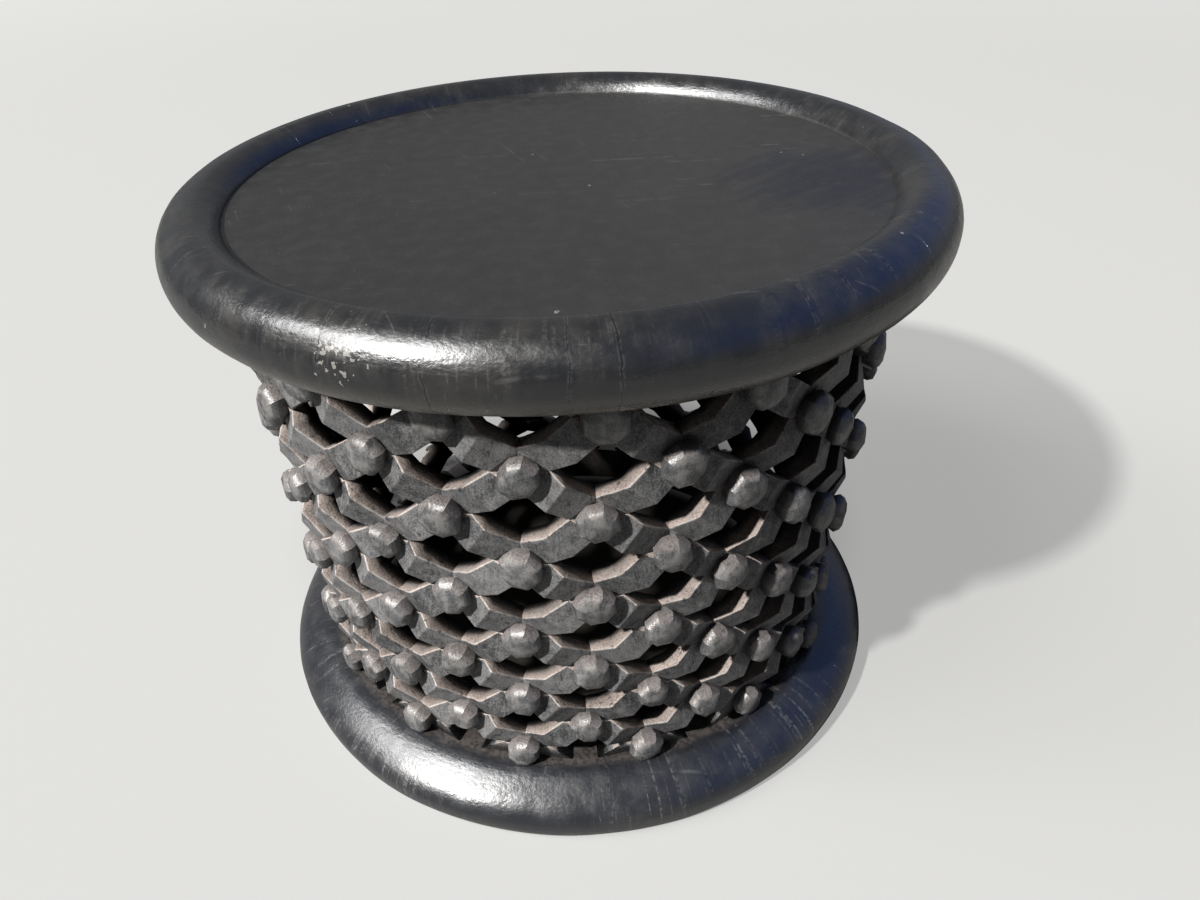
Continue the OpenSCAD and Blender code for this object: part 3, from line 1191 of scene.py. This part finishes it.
@dataclass
class Tray(Turned):
    """The dished tray: a rolled rim round a flat floor."""

    rim_round: float = 28.5 * MM
    centre_r: float = 271.5 * MM
    centre_z: float = 429.5 * MM
    floor_z: float = 443 * MM
    underside: float = 401 * MM
    flat_r: float = 252 * MM
    unevenness: float = 0.9 * MM
    wall_steps: int = 16
    crest_steps: int = 36
    flat_steps: int = 4
    floor_steps: int = 24

    def rim_section(self) -> Section:
        """The rim's closed section, from the floor up the dish's wall and over the crest.

        Returns:
            Radius and height of each point.
        """
        turn = math.acos((self.floor_z - self.centre_z) / self.rim_round)
        run = (self.centre_r - self.flat_r) / math.sin(turn)
        section = []
        for i in range(self.wall_steps):
            angle = turn * (1 - i / self.wall_steps)
            section.append((self.centre_r - run * math.sin(angle),
                            self.centre_z + self.rim_round * math.cos(angle)))
        for i in range(self.crest_steps + 1):
            angle = math.pi / 2 - math.pi * i / self.crest_steps
            section.append((self.centre_r + self.rim_round * math.cos(angle),
                            self.centre_z + self.rim_round * math.sin(angle)))
        shares = [i / self.flat_steps for i in range(1, self.flat_steps + 1)]
        section += [(between(self.centre_r, self.flat_r, share), self.underside)
                    for share in shares]
        return section + [(self.flat_r, between(self.underside, self.floor_z, share))
                          for share in shares[:-1]]

    def floor_section(self) -> Section:
        """The floor's section from the middle of its top to the middle of its underside.

        Returns:
            Radius and height of each point.
        """
        count = self.floor_steps
        top = [(self.flat_r * i / count, self.floor_z) for i in range(count + 1)]
        return top + [(r, self.underside) for r, _ in reversed(top)]

    def turnings(self) -> list[Turning]:
        """The rim and the floor."""
        return [Turning("rolled_rim", "tray_rim", self.rim_section(), 2.0, self.flat_r,
                        self.unevenness),
                Turning("dished_floor", "tray_floor", self.floor_section(), 3.0, closed=False)]


@dataclass
class Base(Turned):
    """The ring base, with a flat seat for the drum and a rounded edge."""

    seat_r: float = 243.5 * MM
    widest_r: float = 280 * MM
    bore_r: float = 213.5 * MM
    top: float = 42 * MM
    edge_height: float = 35 * MM
    foot_round: float = 6 * MM
    slope: float = 1.2
    unevenness: float = 0.9 * MM
    shoulder_steps: int = 18
    foot_steps: int = 12
    flat_steps: int = 4
    under_steps: int = 5

    def section(self) -> Section:
        """The base's closed section, from the seat over the edge and back up the bore.

        Returns:
            Radius and height of each point.
        """
        middle, flats = self.edge_height / 2, [i / self.flat_steps for i in range(self.flat_steps)]
        section = [(between(self.bore_r, self.seat_r, share), self.top) for share in flats]
        for i in range(self.shoulder_steps + 1):
            angle = math.pi / 2 * (1 - i / self.shoulder_steps)
            out = max(math.cos(angle), 0.0) ** self.slope
            section.append((between(self.seat_r, self.widest_r, out),
                            between(middle, self.top, math.sin(angle) ** self.slope)))
        for i in range(1, self.foot_steps + 1):
            angle = math.pi / 2 * i / self.foot_steps
            section.append((self.widest_r - self.foot_round * (1 - math.cos(angle)),
                            middle * (1 - math.sin(angle))))
        outer, inner = self.widest_r - self.foot_round, self.bore_r + self.foot_round / 2
        section += [(between(outer, inner, i / self.under_steps), 0.0)
                    for i in range(1, self.under_steps + 1)]
        return section + [(self.bore_r, between(self.foot_round / 2, self.top, share))
                          for share in flats]

    def turnings(self) -> list[Turning]:
        """The ring."""
        return [Turning("ring_base", "base_ring", self.section(), 5.0, self.seat_r,
                        self.unevenness)]


@dataclass
class Studio:
    """The pale floor, the light and the camera, with azimuths and heights in degrees.

    The floor is painted dark inside the ring of the base, as painted shade under the drum, and its
    glow is dulled close behind the table, as a painted shadow, so that the drum's openings look as
    dark as they do in the photograph.
    """

    pale: Colour = rgb(0.760, 0.760, 0.745)
    paint: Colour = rgb(0.190, 0.190, 0.187)
    glow: Colour = rgb(0.392, 0.392, 0.386)
    # Painted shade: the floor's dark paint inside the ring of the base, which far away also lies
    # under the glow.
    under: Colour = rgb(0.026, 0.025, 0.022)
    floor_half: float = 12.0
    floor_drop: float = 0.2 * MM
    # Radii over which the painted shade under the drum gives way to the pale floor.
    under_shade_edge: Range = (0.20, 0.27)
    far_edge: Range = (2.2, 6.0)
    # Painted shadow: the floor's glow is dulled to this share round a spot close behind the table.
    painted_shadow_share: float = 0.25
    painted_shadow_spot: Point = (0.0, 0.17, 0.0)
    painted_shadow_edge: Range = (0.180, 0.345)
    sun_azimuth: float = -141.6
    sun_height: float = 42.0
    sun_strength: float = 6.0
    sun_spread: float = 3.0
    sun_colour: Point = (1.0, 0.985, 0.96)
    box_azimuth: float = -165.0
    box_height: float = 51.0
    box_away: float = 10.0
    box_along: Point = (0.406, -0.330, 0.254)
    box_size: Range = (7.4, 2.7)
    box_power: float = 820.0
    fill: float = 0.22
    shade: float = 0.048
    room: Colour = rgb(0.97, 0.98, 1.0)
    mirrored: Colour = rgb(0.95, 0.97, 1.0)
    cool: Colour = rgb(0.45, 0.80, 2.00)
    camera_distance: float = 0.7353
    camera_height: float = 0.6894
    pitch: float = 0.604
    roll: float = -0.055
    yaw: float = -0.006
    lens: float = 28.797
    shift: Range = (0.0291, 0.0040)

    def floor(self) -> None:
        """A wide pale floor that keeps the table's shadow, with painted shade under the drum and a
        painted shadow close behind the table.
        """
        half = self.floor_half
        mesh = bpy.data.meshes.new("studio_floor")
        corners = [(-half, -half, 0), (half, -half, 0), (half, half, 0), (-half, half, 0)]
        mesh.from_pydata(corners, [], [(0, 1, 2, 3)])
        plane = stand("studio_floor", mesh)
        plane.location.z = -self.floor_drop
        made, g = new_material("studio_floor")
        spot = g.place()
        away = g.measure("LENGTH", spot)
        # Painted shade: dark paint and no glow inside the ring of the base.
        clear = g.spread(away, *self.under_shade_edge)
        near = g.spread(away, *self.far_edge, 1.0, 0.0)
        # Painted shadow: less glow close behind the table.
        behind = g.measure("DISTANCE", spot, self.painted_shadow_spot)
        unshadowed = g.spread(behind, *self.painted_shadow_edge, self.painted_shadow_share, 1.0)
        paint = g.node("ShaderNodeBsdfDiffuse", {
            "Color": g.blend(g.times(clear, near), self.under, self.paint)})
        glow = g.node("ShaderNodeEmission", {
            "Color": g.blend(near, self.pale, self.glow),
            "Strength": g.times(self.seen(g), clear, unshadowed)})
        mixed = g.node("ShaderNodeAddShader", {0: paint.outputs[0], 1: glow.outputs[0]})
        g.node("ShaderNodeOutputMaterial", {0: mixed.outputs[0]})
        mesh.materials.append(made)

    def seen(self, g: Graph) -> Socket:
        """1 for what the camera sees, straight or through something clear, and 0 for other rays."""
        path = g.node("ShaderNodeLightPath").outputs
        return g.math("MAXIMUM", path["Is Camera Ray"], path["Is Transmission Ray"])

    def aim(self, azimuth: float, height: float) -> Vector:
        """The direction of a light."""
        return polar(math.cos(math.radians(height)), azimuth, math.sin(math.radians(height)))

    def lamps(self) -> None:
        """A key light from the left front and a soft box above it."""
        sun = bpy.data.lights.new("key", "SUN")
        sun.energy = self.sun_strength
        sun.angle = math.radians(self.sun_spread)
        sun.color = self.sun_colour
        toward = self.aim(self.sun_azimuth, self.sun_height)
        stand("key", sun).rotation_euler = toward.to_track_quat("Z", "Y").to_euler()
        soft = bpy.data.lights.new("soft_box", "AREA")
        soft.shape = "RECTANGLE"
        soft.size, soft.size_y = self.box_size
        soft.energy = self.box_power
        up = self.aim(self.box_azimuth, self.box_height)
        along = Vector(self.box_along)
        along = (along - up * along.dot(up)).normalized()
        pose = Matrix((along, up.cross(along), up)).transposed().to_4x4()
        pose.translation = up * self.box_away
        stand("soft_box", soft).matrix_world = pose

    def backdrop(self) -> None:
        """An even pale backdrop, and a dim room that gloss mirrors cooler on the right."""
        world = bpy.data.worlds.new("room")
        bpy.context.scene.world = world
        world.use_nodes = True
        g = Graph(world.node_tree)
        mirror = g.node("ShaderNodeLightPath").outputs["Is Glossy Ray"]
        aim = g.split(g.node("ShaderNodeTexCoord").outputs["Generated"])
        cool = g.times(g.spread(aim[0], 0.1, 0.8), g.spread(aim[2], 0.05, 0.4))
        tint = g.blend(mirror, self.room, g.blend(cool, self.mirrored, self.cool))
        strength = g.spread(mirror, 0.0, 1.0, self.shade, self.fill)
        room = g.node("ShaderNodeBackground", {"Color": tint, "Strength": strength})
        back = g.node("ShaderNodeBackground", {"Color": self.pale, "Strength": 1.0})
        feeds = {0: self.seen(g), 1: room.outputs[0], 2: back.outputs[0]}
        mixed = g.node("ShaderNodeMixShader", feeds)
        g.node("ShaderNodeOutputWorld", {0: mixed.outputs[0]})

    def camera(self) -> None:
        """The camera at the photograph's viewing angle."""
        data = bpy.data.cameras.new("camera")
        data.sensor_width = 36.0
        data.lens = self.lens
        data.shift_x, data.shift_y = self.shift
        data.clip_start = 0.01
        data.clip_end = 100.0
        level = math.cos(self.pitch)
        forward = Vector((math.sin(self.yaw) * level, math.cos(self.yaw) * level,
                          -math.sin(self.pitch)))
        right = Vector((math.cos(self.yaw), -math.sin(self.yaw), 0.0))
        up = right.cross(forward)
        side = right * math.cos(self.roll) + up * math.sin(self.roll)
        top = up * math.cos(self.roll) - right * math.sin(self.roll)
        pose = Matrix((side, top, -forward)).transposed().to_4x4()
        pose.translation = Vector((0.0, -self.camera_distance, self.camera_height))
        camera = stand("camera", data)
        camera.matrix_world = pose
        bpy.context.scene.camera = camera

    def build(self) -> None:
        """Sets the floor, the light, the camera and the plain view."""
        self.floor()
        self.lamps()
        self.backdrop()
        self.camera()
        bpy.context.scene.view_settings.view_transform = "Standard"


def main() -> None:
    """Builds the studio and the table's sub-assemblies in order."""
    logging.basicConfig(level=logging.INFO, format="%(message)s", stream=sys.stdout)
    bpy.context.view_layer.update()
    Studio().build()
    plan, ring, spun = DrumPlan(), RingTree(), SpunTree()
    carved = CarvedFinish("dusty_carved_wood", plan).material()
    knobbed = CarvedFinish("rubbed_knob_wood", plan, grey=rgb(0.135, 0.134, 0.136), dusting=0.30,
                           roughness=0.36, gloss=0.8).material()
    tray = Tray()
    waxed = PolishedFinish("waxed_black_tray", matt_height=tray.floor_z).material()
    tray.dress(tray.build(spun, waxed))
    for end in (End.TRAY, End.BASE):
        lugs = LugRing(plan, end)
        lugs.dress(lugs.build(ring, carved))
    for tier in range(1, plan.rows):
        for lean in (Lean.RIGHT, Lean.LEFT):
            bars = BarTier(plan, tier, lean)
            bars.dress(bars.build(ring, carved))
    for row in range(1, plan.rows + 1):
        knobs = KnobRow(plan, row)
        knobs.dress(knobs.build(ring, knobbed))
    base = Base()
    scuffed = PolishedFinish(
        "waxed_black_base", black=rgb(0.0100, 0.0108, 0.0140), brown=rgb(0.0225, 0.0224, 0.0235),
        rub=rgb(0.140, 0.140, 0.143), roughness=0.33, wax=0.32, scuffs=0.55, cracks_round=64.0,
        dust_radius=237 * MM, crown=3 * MM).material()
    base.dress(base.build(spun, scuffed))
    bpy.context.view_layer.update()


if __name__ == "__main__":
    main()
